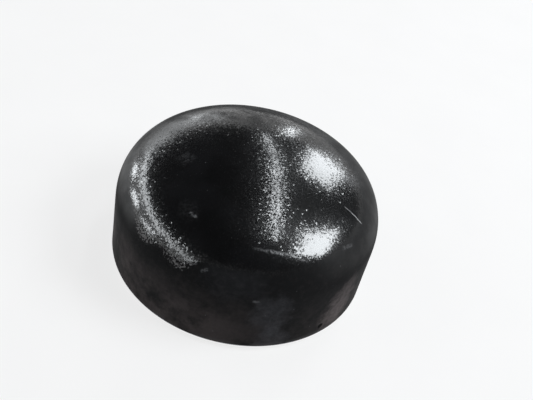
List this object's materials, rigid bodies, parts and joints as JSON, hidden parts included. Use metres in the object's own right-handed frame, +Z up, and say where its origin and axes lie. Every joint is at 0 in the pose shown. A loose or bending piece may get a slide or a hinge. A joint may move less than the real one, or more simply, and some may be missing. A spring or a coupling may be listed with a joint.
{
  "type": "pipe cap",
  "caption": "Dished steel cap with a straight skirt and a bevelled end, welded to the end of a pipe to close it, painted black on the outside.",
  "frame": {"origin": "centre of the open end, on the cap's axis in the plane of the root face", "axes": "+Z up the cap's axis, from the open end to the crown; the cap is round, so X and Y are free"},
  "size_m": [0.1686, 0.1686, 0.0891],
  "materials": {
    "bare_steel": "satin",
    "black_paint": "gloss"
  },
  "bodies": {
    "root": {"cap_shell": "bare_steel", "paint_film": "black_paint"}
  },
  "joints": []
}
